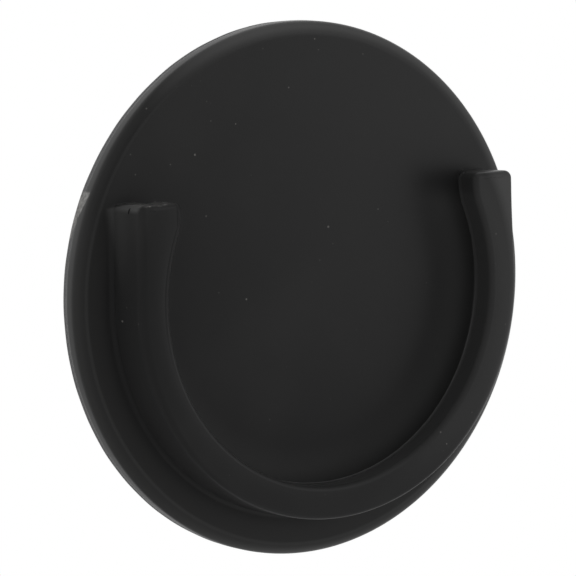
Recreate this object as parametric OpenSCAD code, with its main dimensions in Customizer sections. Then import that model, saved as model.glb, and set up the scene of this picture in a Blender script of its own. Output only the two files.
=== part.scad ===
// Stick-on cradle for the collapsible grip on the back of a phone. A round base stands upright
// against a wall or a dashboard, and a horseshoe wall on its front is open at the top. The grip's
// button slides down behind the wall's inward lip, and the ends of the arms snap in over it.
// +Z is up and the front faces -Y. The origin is the centre of the adhesive pad's rear face.

/* [Grip that goes in] */
// Diameter of the button of the grip
button_d = 40; // [38:0.5:41]
// Gap all round the button once it is seated
button_gap = 0.8; // [0.4:0.1:1.2]

/* [Base] */
// Diameter of the round base
base_d = 53; // [50:0.5:66]
// Thickness of the moulded base
base_t = 1.9; // [1.6:0.1:3]
// Rounding round the front of the base's rim
rim_r = 1.1; // [0.4:0.1:1.4]

/* [Horseshoe wall] */
// Thickness of the wall behind the slot
wall_t = 1.6; // [1.3:0.1:2.4]
// Height of the slot that the button slides into
slot_h = 2.5; // [2:0.1:4]
// Thickness of the lip in front of the slot
lip_t = 2.8; // [1.8:0.1:4]
// How far the lip stands over the slot
lip_reach = 1.7; // [1.2:0.1:2.6]
// How far the end of each arm closes in on the mouth
arm_pinch = 1.75; // [1:0.05:2.5]
// Height of the arms' ends above the centre of the base
arm_rise = 10.4; // [9:0.1:15]

/* [Edges] */
// Rounding of the wall's front edges
front_r = 0.6; // [0.2:0.05:0.7]
// Corner radius of the arms' ends, seen from the front
end_r = 0.8; // [0.7:0.1:1.2]
// Fillet between the wall and the base
foot_r = 0.5; // [0.3:0.1:1.4]

/* [Stiffening frame] */
// Thickness of the frame's plate
plate_t = 0.8; // [0.5:0.1:1.2]
// Width of the soft rim left round the plate
plate_margin = 3; // [2:0.5:6]
// Thickness of the rib inside the horseshoe wall
rib_t = 0.7; // [0.4:0.1:0.9]
// Thickness of the rib's flange inside the lip
flange_t = 0.9; // [0.5:0.1:1.2]
// Soft cover left over the flange's edge and the rib's ends
flange_skin = 0.9; // [0.5:0.1:1.1]
// Diameter of the bonding holes through the plate
bond_hole_d = 2.4; // [1.5:0.1:3]
// Distance of the outer ring of bonding holes from the centre
bond_ring_r = 16; // [13:0.5:18]
// Number of holes in the outer ring, and half as many in the inner one
bond_holes = 12; // [6:2:16]

/* [Adhesive pad] */
// Thickness of the foam
foam_t = 0.4; // [0.3:0.1:1.5]
// Thickness of each adhesive layer on the foam
glue_t = 0.1; // [0.05:0.05:0.2]
// How far the pad stays inside the base's rim
pad_inset = 0.15; // [0:0.05:1]

/* [Hidden] */
$fn = 96;

// How far a cut runs past the face that it opens
overrun = 0.5;

// Heights above the surface that the pad sticks to
foam_h = glue_t;
front_glue_h = foam_h + foam_t;
base_h = front_glue_h + glue_t;
face_h = base_h + base_t;
lip_h = face_h + slot_h;
front_h = lip_h + lip_t;
wall_foot_h = base_h + base_t / 2;

// Radii in the base's plane, and half widths between the arms' ends
base_r = base_d / 2;
slot_r = button_d / 2 + button_gap;
wall_r = slot_r + wall_t;
lip_r = slot_r - lip_reach;
slot_mouth = slot_r - arm_pinch;
lip_mouth = lip_r - arm_pinch;

// The frame sits in the middle of the wall's thickness and of the lip's
wall_skin = (wall_t - rib_t) / 2;
rib_rise = arm_rise - flange_skin;
flange_h = lip_h + (lip_t - flange_t) / 2;

// Turns a shape drawn flat, base down, so that its base stands against the wall
module upright() {
    rotate([90, 0, 0]) children();
}

// The lower half of a disc
module half_disc(r) {
    intersection() {
        circle(r);
        translate([-r, -r]) square([2 * r, r]);
    }
}

// A half disc with straight sides that rise above its centre
module arch_area(r, rise) {
    half_disc(r);
    translate([-r, 0]) square([2 * r, rise]);
}

// The space inside the horseshoe: a circle, and the mouth that leads up out of it
module mouth_area(r, half, rise) {
    circle(r);
    translate([-half, 0]) square([2 * half, rise]);
}

// A horseshoe band between two such outlines, standing from one height to another
module band(outer, inner, half, rise, from, to) {
    translate([0, 0, from]) linear_extrude(to - from) difference() {
        arch_area(outer, rise);
        mouth_area(inner, half, rise + overrun);
    }
}

// What is left of a square corner once a round has been taken out of it
module cove(r) {
    difference() {
        square(r);
        translate([r, r]) circle(r);
    }
}

// A rectangle with a rounded upper right corner, from the axis outwards
module rounded_profile(width, height, r) {
    square([width, height - r]);
    square([width - r, height]);
    intersection() {
        translate([width - r, height - r]) circle(r);
        square([width, height]);
    }
}

module base_blank() {
    translate([0, 0, base_h]) rotate_extrude() rounded_profile(base_r, base_t, rim_r);
}

// The wall's outside: half round below, and straight up to the rounded corners above
module wall_blank() {
    height = front_h - wall_foot_h;
    translate([0, 0, wall_foot_h]) rotate([0, 0, 180])
        rotate_extrude(angle = 180) rounded_profile(wall_r, height, front_r);
    hull() {
        translate([-wall_r, 0, wall_foot_h])
            cube([2 * wall_r, arm_rise - end_r, height - front_r]);
        for (side = [-1, 1]) {
            translate([side * (wall_r - front_r), 0, front_h - front_r])
                rotate([-90, 0, 0]) cylinder(r = front_r, h = arm_rise - end_r, $fn = 32);
            translate([side * (wall_r - end_r), arm_rise - end_r, wall_foot_h])
                rotate_extrude($fn = 32) rounded_profile(end_r, height, front_r);
        }
    }
}

// The foot's section: a fillet outside the wall, and a root inside it that is as deep as the
// arms' corners are round, so that the fillet is backed there too
module foot_section() {
    translate([wall_r, 0]) cove(foot_r);
    translate([wall_r - end_r, 0]) square([end_r, foot_r]);
}

// The fillet at the wall's foot, round the half disc and up both arms
module foot_fillet() {
    translate([0, 0, face_h]) {
        rotate([0, 0, 180]) rotate_extrude(angle = 180) foot_section();
        for (side = [0, 1]) mirror([side, 0, 0])
            translate([0, arm_rise, 0]) rotate([90, 0, 0])
                linear_extrude(arm_rise) foot_section();
    }
}

// Rounds the lip's inner front edge, round the circle and along both arms' ends
module lip_rounding() {
    translate([0, 0, front_h]) {
        rotate_extrude() translate([lip_r, 0]) mirror([0, 1]) edge_cut();
        for (side = [0, 1]) mirror([side, 0, 0])
            translate([lip_mouth, arm_rise + overrun, 0]) rotate([90, 0, 0])
                linear_extrude(arm_rise + overrun) mirror([0, 1]) edge_cut();
    }
}

// The cut that leaves a rounded edge, drawn from the edge outwards
module edge_cut() {
    translate([-overrun, -overrun]) square([overrun, front_r + overrun]);
    translate([-overrun, -overrun]) square([front_r + overrun, overrun]);
    cove(front_r);
}

// Rounds the lip's corners where the arms end
module mouth_corners() {
    for (side = [0, 1]) mirror([side, 0, 0])
        translate([lip_mouth, arm_rise, lip_h])
            mirror([0, 1, 0]) linear_extrude(lip_t + overrun) cove(end_r);
}

// Everything that the button and the neck of the grip need free
module button_space() {
    translate([0, 0, face_h]) linear_extrude(slot_h)
        mouth_area(slot_r, slot_mouth, arm_rise + overrun);
    translate([0, 0, lip_h]) linear_extrude(lip_t + overrun)
        mouth_area(lip_r, lip_mouth, arm_rise + overrun);
    lip_rounding();
    mouth_corners();
}

module frame_blank() {
    // The plate reaches out under the whole of the rib that stands on it
    translate([0, 0, base_h]) linear_extrude(plate_t) {
        circle(base_r - plate_margin);
        arch_area(wall_r - wall_skin, rib_rise);
    }
    band(wall_r - wall_skin, slot_r + wall_skin, slot_mouth + wall_skin, rib_rise,
        base_h, flange_h + flange_t);
    band(wall_r - wall_skin, lip_r + flange_skin, lip_mouth + flange_skin, rib_rise,
        flange_h, flange_h + flange_t);
}

// Holes that the soft cover flows through when it is moulded over the plate
module bonding_holes() {
    for (ring = [1, 2])
        for (i = [0 : bond_holes * ring / 2 - 1])
            rotate([0, 0, 360 * i / (bond_holes * ring / 2)])
                translate([bond_ring_r * ring / 2, 0, base_h - overrun])
                    cylinder(d = bond_hole_d, h = plate_t + 2 * overrun);
}

module frame_shape() {
    difference() {
        frame_blank();
        bonding_holes();
    }
}

module pad_layer(height, thickness) {
    translate([0, 0, height]) cylinder(r = base_r - pad_inset, h = thickness);
}

// Soft black moulding: the base, the horseshoe wall and its lip, in one piece
module cradle_cover() {
    color([0.16, 0.16, 0.16]) upright() difference() {
        union() {
            base_blank();
            wall_blank();
            foot_fillet();
        }
        button_space();
        frame_shape();
    }
}

// Hard plate with a rib up into the wall and a flange into the lip, all inside the cover
module stiffening_frame() {
    color([0.45, 0.45, 0.47]) upright() frame_shape();
}

module front_adhesive() {
    color([0.86, 0.87, 0.88]) upright() pad_layer(front_glue_h, glue_t);
}

module foam_core() {
    color([0.7, 0.71, 0.72]) upright() pad_layer(foam_h, foam_t);
}

module rear_adhesive() {
    color([0.86, 0.87, 0.88]) upright() pad_layer(0, glue_t);
}

cradle_cover();
stiffening_frame();
front_adhesive();
foam_core();
rear_adhesive();
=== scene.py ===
import bpy
import bmesh
import numpy as np
from mathutils import Matrix, Vector


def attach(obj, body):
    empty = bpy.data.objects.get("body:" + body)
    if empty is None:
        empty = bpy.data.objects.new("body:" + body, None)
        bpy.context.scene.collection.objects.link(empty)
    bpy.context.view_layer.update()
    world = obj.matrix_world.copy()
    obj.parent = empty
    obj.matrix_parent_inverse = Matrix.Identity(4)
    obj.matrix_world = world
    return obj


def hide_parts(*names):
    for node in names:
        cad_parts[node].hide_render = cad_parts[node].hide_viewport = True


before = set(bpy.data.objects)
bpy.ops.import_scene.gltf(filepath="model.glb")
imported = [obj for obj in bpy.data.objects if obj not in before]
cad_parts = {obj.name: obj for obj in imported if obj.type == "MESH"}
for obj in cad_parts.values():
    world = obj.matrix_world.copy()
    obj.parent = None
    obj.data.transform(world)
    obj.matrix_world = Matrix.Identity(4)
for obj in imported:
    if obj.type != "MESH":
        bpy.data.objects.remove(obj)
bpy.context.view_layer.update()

# Stick-on cradle for a phone grip. +Z is up, the front faces -Y, and the pad's rear face is y = 0.
# Shapes are worked out in millimetres as (x, height above the wall, z) and turned to metres once.

mm = 0.001


# Camera
cameraSetup = {
    "place": (-0.296131, -0.440301, 0.063641),
    "right": (0.827616, -0.560482, -0.030190),
    "up": (0.091751, 0.082026, 0.992398),
    "lens": 336.29, "sensor": 36, "clip": (0.01, 20),
}

def addCamera(c):
    data = bpy.data.cameras.new("productCamera")
    data.lens, data.sensor_width = c["lens"], c["sensor"]
    data.clip_start, data.clip_end = c["clip"]
    cam = bpy.data.objects.new("productCamera", data)
    bpy.context.collection.objects.link(cam)
    right, up = Vector(c["right"]), Vector(c["up"])
    axes = Matrix((right, up, right.cross(up))).transposed().to_4x4()
    cam.matrix_world = Matrix.Translation(c["place"]) @ axes
    bpy.context.scene.camera = cam

addCamera(cameraSetup)
print("camera placed")


# Mesh helpers
mergeWithin, shortestEdge = 2e-7, 1e-7

def addMesh(name, points, faces):
    mesh = bpy.data.meshes.new(name)
    mesh.from_pydata(points.tolist(), [], faces.tolist())
    return mesh

def addPiece(name, mesh, material):
    mesh.materials.append(material)
    piece = bpy.data.objects.new(name, mesh)
    bpy.context.collection.objects.link(piece)
    return piece

# Neighbouring points of a grid make one four-sided face, and a grid that wraps closes on itself.
def gridFaces(rows, cols, wrapRows, wrapCols):
    i, j = np.meshgrid(np.arange(rows if wrapRows else rows - 1),
                       np.arange(cols if wrapCols else cols - 1), indexing="ij")
    i, j = i.ravel(), j.ravel()
    k, l = (i + 1) % rows, (j + 1) % cols
    return np.stack([i * cols + j, i * cols + l, k * cols + l, k * cols + j], 1)

# Each grid is rows x columns x 3 in (x, height, z) millimetres, with whether its rows and its
# columns wrap. Points that fall together are merged.
def gridPiece(name, grids, material):
    points, faces, start = [], [], 0
    for grid, wrapRows, wrapCols in grids:
        rows, cols = grid.shape[:2]
        faces.append(start + gridFaces(rows, cols, wrapRows, wrapCols))
        points.append(grid.reshape(-1, 3))
        start += rows * cols
    p = np.concatenate(points) * mm
    mesh = addMesh(name, np.stack([p[:, 0], -p[:, 1], p[:, 2]], 1), np.concatenate(faces))
    b = bmesh.new()
    b.from_mesh(mesh)
    bmesh.ops.remove_doubles(b, verts=b.verts, dist=mergeWithin)
    bmesh.ops.dissolve_degenerate(b, edges=b.edges, dist=shortestEdge)
    bmesh.ops.recalc_face_normals(b, faces=b.faces)
    b.to_mesh(mesh)
    b.free()
    mesh.shade_smooth()
    return addPiece(name, mesh, material)

# Angles of points spread evenly round a circle.
def roundAngles(count):
    return np.linspace(0, 2 * np.pi, count, endpoint=False)

# Formula: a profile point (r, h) at angle a goes to (r cos a, h, r sin a).
def revolve(profile, segments):
    a = roundAngles(segments)
    r, h = profile[:, :1], profile[:, 1:]
    return np.stack([r * np.cos(a), h + 0 * a, r * np.sin(a)], -1)

# Formula: centre + r * (cos a, sin a), for a between two angles in degrees.
def arc(centre, r, fromAngle, toAngle, count):
    a = np.radians(np.linspace(fromAngle, toAngle, count))
    return np.stack([centre[0] + r * np.cos(a), centre[1] + r * np.sin(a)], 1)

# Points on a straight line, with either end left out if need be. Formula: a + (b - a) * t.
def straight(a, b, count, first=True, last=True):
    a, b = np.array(a, float), np.array(b, float)
    t = np.linspace(0, 1, count)[0 if first else 1: None if last else -1]
    return a + (b - a) * t[:, None]

# Formula: 0 up to the start, 1 once past the length, and straight between.
def ramp(value, start, length):
    return np.clip((value - start) / length, 0, 1)

# Formula: t t (3 - 2 t).
def smooth(t):
    return t * t * (3 - 2 * t)


# Material helpers
# One procedural material, with every pattern on Object coordinates in metres.
class Finish:
    def __init__(self, name, settings):
        self.material = bpy.data.materials.new(name)
        self.material.use_nodes = True
        self.tree = self.material.node_tree
        self.shader = self.tree.nodes["Principled BSDF"]
        for socket, value in settings.items():
            self.shader.inputs[socket].default_value = value
        self.coords = self.tree.nodes.new("ShaderNodeTexCoord").outputs["Object"]

    def link(self, a, b):
        self.tree.links.new(a, b)

    def feed(self, value, socket):
        self.link(value, self.shader.inputs[socket])

    def noise(self, scale, detail, roughness=0.55, distortion=0.0):
        n = self.tree.nodes.new("ShaderNodeTexNoise")
        for socket, number in zip(("Scale", "Detail", "Roughness", "Distortion"),
                                  (scale, detail, roughness, distortion)):
            n.inputs[socket].default_value = number
        self.link(self.coords, n.inputs["Vector"])
        return n.outputs["Fac"]

    def cells(self, scale, turn=(0, 0, 0)):
        m = self.tree.nodes.new("ShaderNodeMapping")
        m.inputs["Rotation"].default_value = turn
        self.link(self.coords, m.inputs["Vector"])
        v = self.tree.nodes.new("ShaderNodeTexVoronoi")
        v.inputs["Scale"].default_value = scale
        self.link(m.outputs["Vector"], v.inputs["Vector"])
        return v.outputs["Distance"], v.outputs["Color"]

    def math(self, kind, a, b=None):
        n = self.tree.nodes.new("ShaderNodeMath")
        n.operation = kind
        for socket, value in zip(n.inputs, (a, b)):
            if isinstance(value, (int, float)):
                socket.default_value = value
            elif value is not None:
                self.link(value, socket)
        return n.outputs[0]

    def product(self, first, *others):
        for other in others:
            first = self.math("MULTIPLY", first, other)
        return first

    def most(self, first, *others):
        for other in others:
            first = self.math("MAXIMUM", first, other)
        return first

    def span(self, value, low, high, toLow=0.0, toHigh=1.0, kind="SMOOTHSTEP"):
        n = self.tree.nodes.new("ShaderNodeMapRange")
        n.interpolation_type = kind
        self.link(value, n.inputs["Value"])
        for socket, number in zip(("From Min", "From Max", "To Min", "To Max"),
                                  (low, high, toLow, toHigh)):
            n.inputs[socket].default_value = number
        return n.outputs["Result"]

    # The colour sockets of a mix are inputs 6 and 7 and output 2.
    def mix(self, share, a, b):
        n = self.tree.nodes.new("ShaderNodeMix")
        n.data_type = "RGBA"
        self.link(share, n.inputs["Factor"])
        for socket, value in ((n.inputs[6], a), (n.inputs[7], b)):
            if isinstance(value, tuple):
                socket.default_value = (*value, 1)
            else:
                self.link(value, socket)
        return n.outputs[2]

    def bump(self, height, strength, distance):
        n = self.tree.nodes.new("ShaderNodeBump")
        n.inputs["Strength"].default_value = strength
        n.inputs["Distance"].default_value = distance
        self.link(height, n.inputs["Height"])
        last = self.shader.inputs["Normal"]
        if last.is_linked:
            self.link(last.links[0].from_socket, n.inputs["Normal"])
        self.link(n.outputs["Normal"], last)

    # Lets the surface fade to clear.
    def clearBy(self, share):
        clear = self.tree.nodes.new("ShaderNodeBsdfTransparent").outputs[0]
        blend = self.tree.nodes.new("ShaderNodeMixShader")
        for value, socket in zip((share, self.shader.outputs[0], clear), blend.inputs):
            self.link(value, socket)
        self.link(blend.outputs[0], self.tree.nodes["Material Output"].inputs["Surface"])

    # Distance from a spot in metres, each axis measured in its own radius.
    def closeTo(self, spot, radii):
        m = self.tree.nodes.new("ShaderNodeMapping")
        m.vector_type = "TEXTURE"
        m.inputs["Location"].default_value = spot
        m.inputs["Scale"].default_value = radii
        self.link(self.coords, m.inputs["Vector"])
        n = self.tree.nodes.new("ShaderNodeVectorMath")
        n.operation = "LENGTH"
        self.link(m.outputs["Vector"], n.inputs[0])
        return n.outputs["Value"]

    # Measures of a point: x, y and z, and slanting sums (name, first, second, share of second).
    def measures(self, sums):
        n = self.tree.nodes.new("ShaderNodeSeparateXYZ")
        self.link(self.coords, n.inputs[0])
        found = {axis: n.outputs[axis.upper()] for axis in "xyz"}
        for name, first, second, share in sums:
            found[name] = self.math("ADD", found[first], self.math("MULTIPLY", found[second], share))
        return found

    # Distance from the object's axis: y counts a thousandth, which is as good as nothing.
    def fromAxis(self):
        return self.closeTo((0, 0, 0), (1, 1000, 1))

    # Share of a mark. Each limit names a measure, and then either the two values between which
    # the mark fades in, if need be with its share at both, or a word and a value for a hard edge.
    def zone(self, found, limits):
        hard = {"below": "LESS_THAN", "above": "GREATER_THAN"}
        return self.product(*(self.math(hard[rule[0]], found[name], rule[1]) if rule[0] in hard
                              else self.span(found[name], *rule) for name, *rule in limits))


# A pale patch on the rim's left side: a wedge with a straight upper end that runs down to a point on
# the pad's rear edge.
palePatch = {
    "colour": (0.22, 0.217, 0.21), "dark": (0.14, 0.138, 0.134),
    "mottle": (3200, 2), "mottled": (0.35, 0.65),
    "slope": 0.31, "tip": 0.0068, "soft": 0.0001,
    "ragged": (1500, 2), "raggedBy": (0.3, 0.7, -0.00012, 0.00012),
    # Straight at the top, on the left only, not on the pad's rear face, and only on the rim
    "limits": [("z", 0.0116, 0.0113), ("x", "below", -0.02), ("y", "below", -0.00002),
               ("out", "above", 0.0257)],
}

def patched(f, colour, c):
    found = f.measures([("lean", "y", "z", c["slope"])])
    found["out"] = f.fromAxis()
    lean = f.math("ADD", found["lean"], f.span(f.noise(*c["ragged"]), *c["raggedBy"]))
    start = c["slope"] * c["tip"]
    share = f.product(f.span(lean, start - c["soft"], start + c["soft"]), f.zone(found, c["limits"]))
    tone = f.mix(f.span(f.noise(*c["mottle"]), *c["mottled"]), c["dark"], c["colour"])
    return f.mix(share, colour, tone)


# Soft black cover
coverFinish = {
    "shader": {"IOR": 1.42, "Sheen Weight": 0.03, "Sheen Roughness": 0.5},
    "colour": (0.0135, 0.0135, 0.0136),
    "worn": (0.0160, 0.0159, 0.0158),
    # A worn edge colour which also paints highlights on the edges
    "rim": (0.060, 0.060, 0.0595),
    # Lighter outside the wall's foot, lower down
    "lowerOuterTint": (0.0185, 0.0184, 0.0182),
    # Painted fill light that lifts the shade on a flank
    "flank": (0.030, 0.030, 0.0297),
    # A painted highlight on a corner
    "corner": (0.055, 0.055, 0.0545),
    "nick": (0.003, 0.003, 0.003),
    # Lighter in a slot, and a painted highlight on a lip's edge
    "slotTintAndLipHighlight": (0.028, 0.028, 0.0278),
    "dust": (0.11, 0.107, 0.10),
    "crumb": (0.24, 0.235, 0.226),
    "cloud": (70, 4), "wornFrom": (0.42, 0.72), "roughness": (0.3, 0.7, 0.32, 0.42),
    # Each bump: the noise, then its strength and depth
    "bumps": (((5200, 2, 0.6), (0.22, 0.00003)), ((14000, 1), (0.12, 0.00002))),
    # Specks of dust: scale of the cells, radius, share of the cells kept clean, turn
    "specks": ((520, 0.08, 0.82, 0.3), (1300, 0.14, 0.92, 1.1)),
    "speckTurn": 0.4, "speckCore": 0.4,
    "lumps": (2600, 3, 0.7), "lumpFrom": (0.52, 0.66, 0.05, 0.8),
    "nickSpot": ((-0.0222, -0.0055, 0.0098), (0.0012, 0.00014, 0.00036)), "nickEdge": (1.0, 0.7),
    "shine": (0.5, 0.05),
    "creaseR": 0.0254, "crease": (0.00025, 0.00005, 0, 0.13),
    "sums": [("level", "z", "y", 0.25), ("slant", "y", "z", -0.2), ("upper", "z", "x", 0.6)],
    # Tints: lighter outside the wall's foot, lower down; painted fill light that lifts the shade on
    # the left arm's flank, starting further forward lower down and thinning towards the front; and a
    # painted highlight on the corner of that arm's end
    "tintsAndPaintedLight": {
        "lowerOuterTint": [("out", 0.0224, 0.0240), ("z", 0.013, 0.006)],
        "flank": [("x", -0.0216, -0.0221), ("x", -0.0230, -0.0225), ("level", 0.0094, 0.0091),
                  ("slant", -0.0038, -0.0046), ("y", -0.0066, -0.0036, 0.1, 1), ("z", 0.0, 0.0105)],
        "corner": [("x", -0.0200, -0.0216), ("x", -0.0228, -0.0224), ("z", 0.0095, 0.0101),
                   ("level", 0.0094, 0.0091), ("y", -0.0074, -0.0066),
                   ("y", -0.0024, -0.0038, 0.3, 0.9)],
    },
    # The lip's inner edge, which is duller on the left arm
    "onArc": [("out", "below", 0.0198)],
    "onMouth": [("x", "above", -0.0181)],
    "dull": [("x", -0.012, -0.015), ("y", "below", -0.0069), ("z", -0.008, 0.002, 0, 0.75)],
    # Worn edges with painted highlights on them: the rim, more on the right; the rim's upper right;
    # the rim's rear; the wall's outer shoulder on the right; the flash behind the lip, lower down; the
    # lip's front edge on the right
    "wornAndHighlit": [
        [("out", 0.0255, 0.0265), ("x", -0.018, 0.004, 0.15, 1.0)],
        [("out", 0.0249, 0.0262), ("upper", 0.004, 0.024, 0, 0.8)],
        [("out", 0.0258, 0.0264), ("y", -0.0025, -0.0007), ("z", -0.005, 0.015, 0.6, 0.95)],
        [("out", 0.0210, 0.0226, 0, 0.5), ("y", -0.0062, -0.0068), ("x", 0.008, 0.016),
         ("z", -0.019, -0.006)],
        [("out", 0.01909, 0.01905), ("out", "above", 0.0189), ("y", "below", -0.00485),
         ("z", 0.001, -0.005, 0, 0.7)],
        [("out", 0.0190, 0.0194), ("out", 0.0222, 0.0198), ("y", -0.0070, -0.0075),
         ("x", 0.004, 0.014, 0, 0.15)],
    ],
    # Lighter in the slot under the lip, and a painted highlight on the lip's edge on the right
    "inSlot": [("out", 0.0152, 0.0190), ("out", "below", 0.0209), ("z", 0.0095, 0.0065),
               ("y", -0.0052, -0.0047)],
    "onLip": [("out", 0.0196, 0.0191), ("y", -0.0047, -0.0052), ("x", -0.004, 0.008, 0, 0.5)],
    # Crumbs lie on the left arm's end, which faces up
    "onEnd": [("z", 0.01015, 0.01038), ("y", -0.0026, -0.0029), ("x", 0.0, -0.01, 0.0, 0.9)],
}

def softBlack(c):
    f = Finish("softBlackSilicone", c["shader"])
    cloud = f.noise(*c["cloud"])
    colour = f.mix(f.span(cloud, *c["wornFrom"]), c["colour"], c["worn"])
    # Only a few of the cells keep a speck at their middle
    for scale, size, clean, turn in c["specks"]:
        distance, cell = f.cells(scale, (turn, c["speckTurn"], turn))
        parts = f.tree.nodes.new("ShaderNodeSeparateColor")
        f.link(cell, parts.inputs[0])
        speck = f.product(f.span(distance, size, size * c["speckCore"]),
                          f.math("GREATER_THAN", parts.outputs[0], clean), parts.outputs[1])
        colour = f.mix(speck, colour, c["dust"])
    found = f.measures(c["sums"])
    found["out"] = f.fromAxis()
    # Lighter tints, painted fill light and a painted highlight, each by its zone
    for name, limits in c["tintsAndPaintedLight"].items():
        colour = f.mix(f.zone(found, limits), colour, c[name])
    nick = f.span(f.closeTo(*c["nickSpot"]), *c["nickEdge"])
    colour = f.mix(nick, colour, c["nick"])
    # The nick doesn't shine either
    innerEdge = f.most(f.zone(found, c["onArc"]), f.zone(found, c["onMouth"]))
    dull = f.product(innerEdge, f.zone(found, c["dull"]))
    f.feed(f.span(f.most(dull, nick), 0, 1, *c["shine"], kind="LINEAR"), "Specular IOR Level")
    # The crease where the rim's bevel starts gets the same painted highlight
    offCrease = f.math("ABSOLUTE", f.math("SUBTRACT", found["out"], c["creaseR"]))
    wornAndHighlit = f.most(f.span(offCrease, *c["crease"]), *(f.zone(found, k) for k in c["wornAndHighlit"]))
    colour = f.mix(wornAndHighlit, colour, c["rim"])
    # Lighter in the slot, with a painted highlight on the lip's edge on the right
    slotAndLipShare = f.most(f.zone(found, c["inSlot"]), f.zone(found, c["onLip"]))
    colour = f.mix(slotAndLipShare, colour, c["slotTintAndLipHighlight"])
    crumbs = f.product(f.span(f.noise(*c["lumps"]), *c["lumpFrom"]), f.zone(found, c["onEnd"]))
    colour = f.mix(crumbs, colour, c["crumb"])
    f.feed(patched(f, colour, palePatch), "Base Color")
    f.feed(f.span(cloud, *c["roughness"]), "Roughness")
    for pattern, depth in c["bumps"]:
        f.bump(f.noise(*pattern), *depth)
    return f.material

# Lengths are millimetres. A pair whose name ends in From says where something starts, up the
# arms or across the front, and over which length it grows. The skirt runs on from the wall's
# foot in steps of how far out it reaches and how deep it lies in the base.
coverShape = {
    "baseR": 26.5, "rearH": 0.6, "faceH": 2.5, "rearEdge": 0.12,
    "bevelFrom": 25.05, "bevelEase": 0.55, "bevelSlope": 0.38, "rimR": 0.8,
    "pocketR": 23.5, "pocketH": 1.4,
    "wallR": 22.4, "slotR": 20.8, "lipR": 19.1, "slotMouth": 19.05, "lipMouth": 17.35,
    "lipH": 5.0, "frontH": 7.8, "rise": 10.4, "endR": 0.8, "slotEndR": 0.7, "bend": 0.35,
    "lowRound": 0.5, "sideRound": 0.85, "sideFrom": (-19, 12),
    "lipRound": 0.6, "endRound": 0.6, "endFrom": (4, 5), "slotTop": 0.22,
    "footR": 0.5, "endFoot": 0.1, "slotFoot": 0.12, "skirt": ((0.3, 0.08), (0.1, 0.01)),
    "lean": 0.26, "leanFrom": (1, 8), "crown": 0.06, "crownFrom": (0, 3),
    "sag": 0.08, "outerSag": 0.16, "sagFrom": (7.5, 2.9),
    "flash": 0.09, "flashH": 0.12, "flashCurve": ((0.9, 0.75), (1, 0.5), (1, 0.15), (0.8, 0)),
    # How many points each run of the base's profile and of the wall's outline has
    "segments": 360,
    "base": {"face": 24, "bevel": 19, "rim": 10, "side": 7, "edge": 6, "ring": 5, "pocket": 8},
    "outline": {"low": 110, "arm": 46, "corner": 19, "cornerArc": 17, "end": 9},
    # How many rows a rounding has, and how far along each run of the section its rows lie
    "rounding": 13,
    "flank": (0.06, 0.3, 0.6, 0.9), "shoulder": (0, 0.25, 0.6, 0.92, 1),
    "front": (0.05, 0.15, 0.3, 0.5, 0.7, 0.85, 0.95), "under": (0.1, 0.5, 0.9),
}

# A profile from the front's centre over the bevel and round the rim to the rear pocket, spun
# round the axis. Formula: the bevel's slope grows by a smooth step of the radius, and its height
# is the face less the sum of that slope.
def basePoints(c):
    r, face, rear, edge, rim = c["baseR"], c["faceH"], c["rearH"], c["rearEdge"], c["rimR"]
    pocketR, pocket, n = c["pocketR"], c["pocketH"], c["base"]
    lean = np.arctan(c["bevelSlope"])
    x = np.linspace(c["bevelFrom"], r - rim + rim * np.sin(lean), n["bevel"])
    slope = c["bevelSlope"] * smooth(ramp(x, c["bevelFrom"], c["bevelEase"]))
    h = face - np.r_[0, np.cumsum((slope[1:] + slope[:-1]) / 2 * np.diff(x))]
    centreH = h[-1] - rim * np.cos(lean)
    profile = np.concatenate([
        straight((0, face), (c["bevelFrom"], face), n["face"], last=False),
        np.stack([x, h], 1),
        arc((r - rim, centreH), rim, 90 - np.degrees(lean), 0, n["rim"])[1:],
        straight((r, centreH), (r, rear + edge), n["side"], first=False),
        arc((r - edge, rear + edge), edge, 0, -90, n["edge"])[1:],
        straight((r - edge, rear), (pocketR, rear), n["ring"], first=False),
        straight((pocketR, pocket), (0, pocket), n["pocket"]),
    ])
    return revolve(profile, c["segments"])

# The same line with its points spaced evenly. Formula: each coordinate is read off at equal
# steps of the length walked.
def along(points, count):
    length = np.r_[0, np.cumsum(np.hypot(*np.diff(points, axis=0).T))]
    s = np.linspace(0, length[-1], count)
    return np.stack([np.interp(s, length, points[:, k]) for k in (0, 1)], 1)

# Right half of one outline, from the lowest point to the middle of the arm's end. Formula:
# a quarter circle, then inside x = the larger of the circle's and the mouth's half width,
# blended, and outside, where no mouth is given, a side that leans in a little, up to the arm's
# corner, then the corner's arc and the end face. The last result grows from 0 to 1 round the
# corner.
def horseshoe(c, r, endR, mouth=None):
    n = c["outline"]
    low = arc((0, 0), r, -90, 0, n["low"])
    z = np.linspace(0, c["rise"] - c["endR"], n["arm"])[1:]
    if mouth is None:
        x = r - c["lean"] * ramp(z, *c["leanFrom"])
    else:
        over = np.sqrt(r * r - z * z) - mouth
        x = mouth + 0.5 * (over + np.sqrt(over ** 2 + c["bend"] ** 2))
    arm = np.stack([x, z], 1)
    side, fromAngle = (-1, 0) if mouth is None else (1, 180)
    turn = arc((x[-1] + side * endR, c["rise"] - endR), endR, fromAngle, 90, n["cornerArc"])
    corner = along(np.concatenate([arm[-1:], turn]), n["corner"])[1:]
    middle = (c["slotMouth"] + c["wallR"]) / 2
    end = along(np.array([corner[-1], (middle, c["rise"])]), n["end"])[1:]
    plan = np.concatenate([low, arm, corner, end])
    slope = np.gradient(plan, axis=0)
    slope /= np.linalg.norm(slope, axis=1)[:, None]
    normal = np.stack([slope[:, 1], -slope[:, 0]], 1) * -side
    atEnd = np.r_[np.zeros(len(low) + len(arm)),
                  np.linspace(0, 1, len(corner) + 1)[1:], np.ones(len(end))]
    return plan, normal, atEnd

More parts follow.
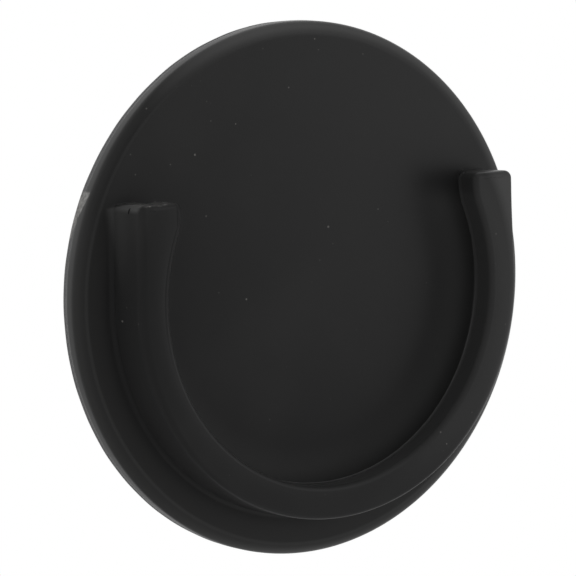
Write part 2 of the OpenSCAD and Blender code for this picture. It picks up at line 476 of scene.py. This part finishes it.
# Rows are the section's points, columns run from one arm's end to the other's. Formula:
# plan point + offset * plan normal, at a height, with both set row by row. The front is
# crowned by 4 t (1 - t) across its width, a thin flash stands along the lip's rear edge, and
# the arm's end sags a little towards the base and towards its outer side.
def wallPoints(c):
    outer, outerN, end = horseshoe(c, c["wallR"], c["endR"])
    lip, lipN, _ = horseshoe(c, c["lipR"], c["endR"], c["lipMouth"])
    slot, slotN, _ = horseshoe(c, c["slotR"], c["slotEndR"], c["slotMouth"])
    ease = smooth(end)
    foot = c["footR"] + (c["endFoot"] - c["footR"]) * ease
    slotFoot = c["slotFoot"] + (c["endFoot"] - c["slotFoot"]) * ease
    flash, flashH, slotTop = (c[key] * (1 - ease) for key in ("flash", "flashH", "slotTop"))
    face, lipH, front = c["faceH"], c["lipH"], c["frontH"]
    up = ramp(outer[:, 1], *c["endFrom"]) ** 2
    outR = c["lowRound"] + (c["sideRound"] - c["lowRound"]) * ramp(outer[:, 1], *c["sideFrom"])
    outR += (c["endRound"] - outR) * up
    inR = c["lipRound"] + (c["endRound"] - c["lipRound"]) * up
    turn = np.radians(np.linspace(0, 90, c["rounding"]))
    crown = c["crown"] * ramp(np.hypot(*(outer - lip).T), *c["crownFrom"])
    top = front - crown
    rows = []

    def row(curve, normal, offset, height):
        height = np.broadcast_to(height, end.shape)
        p = curve + normal * np.broadcast_to(offset, end.shape)[:, None]
        rows.append(np.stack([p[:, 0], height, p[:, 1]], 1))

    for out, deep in c["skirt"]:
        row(outer, outerN, foot + out, face - deep)
    for a in turn:
        row(outer, outerN, foot * (1 - np.sin(a)), face + foot * (1 - np.cos(a)))
    for t in c["flank"]:
        row(outer, outerN, 0, face + foot + (lipH - face - foot) * t)
    for t in c["shoulder"]:
        row(outer, outerN, 0, lipH + flashH + (top - outR - lipH - flashH) * t)
    for a in turn[1:]:
        row(outer, outerN, -outR * (1 - np.cos(a)), top - outR * (1 - np.sin(a)))
    fromOut, toIn = outer - outerN * outR[:, None], lip - lipN * inR[:, None]
    for t in c["front"]:
        row(fromOut + (toIn - fromOut) * t, outerN, 0, front - crown * (1 - 4 * t * (1 - t)))
    for a in turn[:0:-1]:
        row(lip, lipN, -inR * (1 - np.cos(a)), top - inR * (1 - np.sin(a)))
    for t in c["shoulder"][::-1]:
        row(lip, lipN, 0, lipH + flashH + (top - inR - lipH - flashH) * t)
    for out, high in c["flashCurve"]:
        row(lip, lipN, flash * out, lipH + flashH * high)
    toSlot = slot + slotN * slotTop[:, None]
    for t in c["under"]:
        row(lip + (toSlot - lip) * t, outerN, 0, lipH)
    for a in turn[::2]:
        row(slot, slotN, slotTop * (1 - np.sin(a)), lipH - slotTop * (1 - np.cos(a)))
    for t in c["flank"][::-1]:
        row(slot, slotN, 0, face + slotFoot + (lipH - slotTop - face - slotFoot) * t)
    for a in turn[::-1]:
        row(slot, slotN, slotFoot * (1 - np.sin(a)), face + slotFoot * (1 - np.cos(a)))
    for out, deep in c["skirt"][::-1]:
        row(slot, slotN, slotFoot + out, face - deep)
    half = np.stack(rows)
    x, h, z = half[..., 0], half[..., 1], half[..., 2]
    rear = ramp(front - h, 0, front - face)
    outward = ramp(x, c["lipMouth"], c["wallR"] - c["lipMouth"])
    z -= rear * (c["sag"] + c["outerSag"] * outward) * ramp(z, *c["sagFrom"]) ** 2
    left = half[:, :0:-1] * np.array([-1, 1, 1])
    return np.concatenate([left, half], axis=1)

cover = gridPiece("softCover", [(basePoints(coverShape), False, True),
                                (wallPoints(coverShape), True, False)], softBlack(coverFinish))
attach(cover, "root")
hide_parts("cradle_cover")
print("cover built")


# Adhesive pad
# A wave has its count round the pad and its size. A layer has the heights of its two faces and
# the bulge of its cut edge.
padShape = {
    "r": 26.49, "segments": 320, "rings": 16, "edgeRows": 7, "edgeOnly": 8,
    "waves": ((7, 0.012), (19, 0.008), (43, 0.006)),
    "layers": {"rear_adhesive": (0.0, 0.1, 0.0), "foam_core": (0.1, 0.5, -0.05),
               "front_adhesive": (0.5, 0.6, 0.0)},
}

# A flat round layer whose cut edge wavers. Formula: r = R + bulge (1 - t^2) - sum of
# size * (1 - sin(count * (angle + 1))), with t from -1 at one face to 1 at the other. The waves
# fade inwards by a power of the radius.
def padPoints(c, low, high, bulge):
    t = np.linspace(-1, 1, c["edgeRows"])
    profile = np.concatenate([
        straight((0, low), (c["r"], low), c["rings"], last=False),
        np.stack([c["r"] + bulge * (1 - t * t), (low + high) / 2 + t * (high - low) / 2], 1),
        straight((c["r"], high), (0, high), c["rings"], first=False),
    ])
    points = revolve(profile, c["segments"])
    a = roundAngles(c["segments"])
    inset = sum(size * (1 - np.sin(count * a + count)) for count, size in c["waves"])
    r = np.hypot(points[..., 0], points[..., 2]) / c["r"]
    points[..., [0, 2]] *= (1 - inset * r ** c["edgeOnly"] / c["r"])[..., None]
    return points

glueFinish = {
    "shader": {"IOR": 1.47, "Coat Weight": 0.25, "Coat Roughness": 0.12},
    "dark": (0.10, 0.10, 0.101), "pale": (0.13, 0.13, 0.13), "bubble": (0.15, 0.15, 0.15),
    "streak": (260, 4, 0.6, 1.2), "paleFrom": (0.35, 0.7), "roughness": (0.3, 0.7, 0.2, 0.38),
    "bubbles": 1500, "bubbleR": (0.24, 0.1), "bubbleShare": 0.25,
    "streakBump": (0.3, 0.00005), "bubbleBump": (0.15, 0.00002),
}

def tackyAdhesive(c):
    f = Finish("clearAdhesive", c["shader"])
    streak = f.noise(*c["streak"])
    bubble = f.span(f.cells(c["bubbles"])[0], *c["bubbleR"])
    colour = f.mix(f.span(streak, *c["paleFrom"]), c["dark"], c["pale"])
    colour = f.mix(f.product(bubble, c["bubbleShare"]), colour, c["bubble"])
    f.feed(patched(f, colour, palePatch), "Base Color")
    f.feed(f.span(streak, *c["roughness"]), "Roughness")
    f.bump(streak, *c["streakBump"])
    f.bump(bubble, *c["bubbleBump"])
    return f.material

foamFinish = {
    "shader": {"IOR": 1.45, "Roughness": 0.9},
    "dark": (0.07, 0.07, 0.0705), "pale": (0.12, 0.12, 0.121), "cloud": (0.10, 0.10, 0.10),
    "cells": 7000, "paleFrom": (0.15, 0.6), "clouds": (400, 3), "cloudFrom": (0.4, 0.7, 0.0, 0.35),
    "cellBump": (0.5, 0.00006),
}

def closedCellFoam(c):
    f = Finish("greyFoam", c["shader"])
    distance = f.cells(c["cells"])[0]
    colour = f.mix(f.span(distance, *c["paleFrom"]), c["dark"], c["pale"])
    colour = f.mix(f.span(f.noise(*c["clouds"]), *c["cloudFrom"]), colour, c["cloud"])
    f.feed(patched(f, colour, palePatch), "Base Color")
    f.bump(distance, *c["cellBump"])
    return f.material

padFinish = {"rear_adhesive": tackyAdhesive(glueFinish), "foam_core": closedCellFoam(foamFinish)}
padFinish["front_adhesive"] = padFinish["rear_adhesive"]
for node, (low, high, bulge) in padShape["layers"].items():
    grid = padPoints(padShape, low, high, bulge)
    layer = gridPiece(node.replace("_", "") + "Layer", [(grid, False, True)], padFinish[node])
    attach(layer, "root")
    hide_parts(node)
print("pad built")


# Stiffening frame, hidden in the cover
nylonFinish = {
    "shader": {"IOR": 1.5}, "dark": (0.16, 0.16, 0.17), "pale": (0.21, 0.21, 0.22),
    "cloud": (120, 4), "paleFrom": (0.35, 0.7),
    "grain": (6000, 2), "roughness": (0.3, 0.7, 0.38, 0.52), "grainBump": (0.2, 0.00003),
}

def mouldedNylon(c):
    f = Finish("greyNylon", c["shader"])
    grain = f.noise(*c["grain"])
    f.feed(f.mix(f.span(f.noise(*c["cloud"]), *c["paleFrom"]), c["dark"], c["pale"]), "Base Color")
    f.feed(f.span(grain, *c["roughness"]), "Roughness")
    f.bump(grain, *c["grainBump"])
    return f.material

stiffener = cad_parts["stiffening_frame"].data
stiffener.materials.clear()
stiffener.materials.append(mouldedNylon(nylonFinish))
print("frame dressed")


# Floor, tent and light
# Each limit of the tent's zones has its two values as shares of the tent's radius.
studio = {
    "sky": 1.0, "segments": 96,
    "floor": 0.86, "floorRoughness": 0.8, "floorDrop": -0.12, "floorR": 0.34,
    "floorFade": (0.45, 0.98),
    "tentR": 0.115, "tentRows": 64,
    "sums": [("across", "x", "z", 0.5), ("back", "y", "x", 0.35)],
    "side": [("across", 0.36, 0.80, 0.06, 0.78), ("z", 0.45, 0.85, 1, 0.35),
             ("across", 0.72, 0.95, 1, 0.3)],
    "bounce": [("z", -0.1, -0.85, 0, 0.2), ("x", -0.3, 0.2)],
    "opening": [("back", 0.25, 0.85, 0, 0.7)],
}

# A flat disc: points (r cos a, r sin a) at one height.
def roundFloor(c):
    a = roundAngles(c["segments"])
    ring = np.stack([c["floorR"] * np.cos(a), c["floorR"] * np.sin(a), 0 * a + c["floorDrop"]], 1)
    mesh = addMesh("studioFloor", ring, np.arange(len(ring))[None])
    f = Finish("paleFloor", {"Base Color": (c["floor"],) * 3 + (1,), "Roughness": c["floorRoughness"]})
    distance = f.closeTo((0, 0, c["floorDrop"]), (c["floorR"],) * 3)
    f.clearBy(f.span(distance, *c["floorFade"]))
    return addPiece("studioFloor", mesh, f.material)

# A glowing tent round the object that only reflections see. Formula: the sphere's points
# r (cos e cos a, cos e sin a, sin e). It glows weakly at the left, grows brighter with x + 0.5 z
# towards the upper right and above the floor's right, dims again overhead and at the far right, and
# opens with y + 0.35 x towards the back.
def gradedTent(c):
    r, rows, cols = c["tentR"], c["tentRows"], c["segments"]
    e = np.linspace(-np.pi / 2, np.pi / 2, rows)[:, None]
    a = roundAngles(cols)
    place = r * np.stack([np.cos(e) * np.cos(a), np.cos(e) * np.sin(a), np.sin(e) + 0 * a], -1)
    mesh = addMesh("studioTent", place.reshape(-1, 3), gridFaces(rows, cols, False, True))
    f = Finish("tentReflectionGlow", {"Base Color": (0, 0, 0, 1), "Emission Color": (1, 1, 1, 1),
                             "Specular IOR Level": 0})
    found = f.measures(c["sums"])

    def scaled(limits):
        return f.zone(found, [(name, low * r, high * r, *ends) for name, low, high, *ends in limits])

    f.feed(f.math("ADD", scaled(c["side"]), scaled(c["bounce"])), "Emission Strength")
    f.clearBy(scaled(c["opening"]))
    tent = addPiece("studioTent", mesh, f.material)
    tent.visible_camera = tent.visible_diffuse = tent.visible_shadow = False
    return tent

world = bpy.data.worlds.new("studioWorld")
bpy.context.scene.world = world
world.use_nodes = True
background = world.node_tree.nodes["Background"]
background.inputs["Color"].default_value = (1, 1, 1, 1)
background.inputs["Strength"].default_value = studio["sky"]
roundFloor(studio)
gradedTent(studio)
bpy.context.scene.view_settings.view_transform = "Standard"
print("studio set")
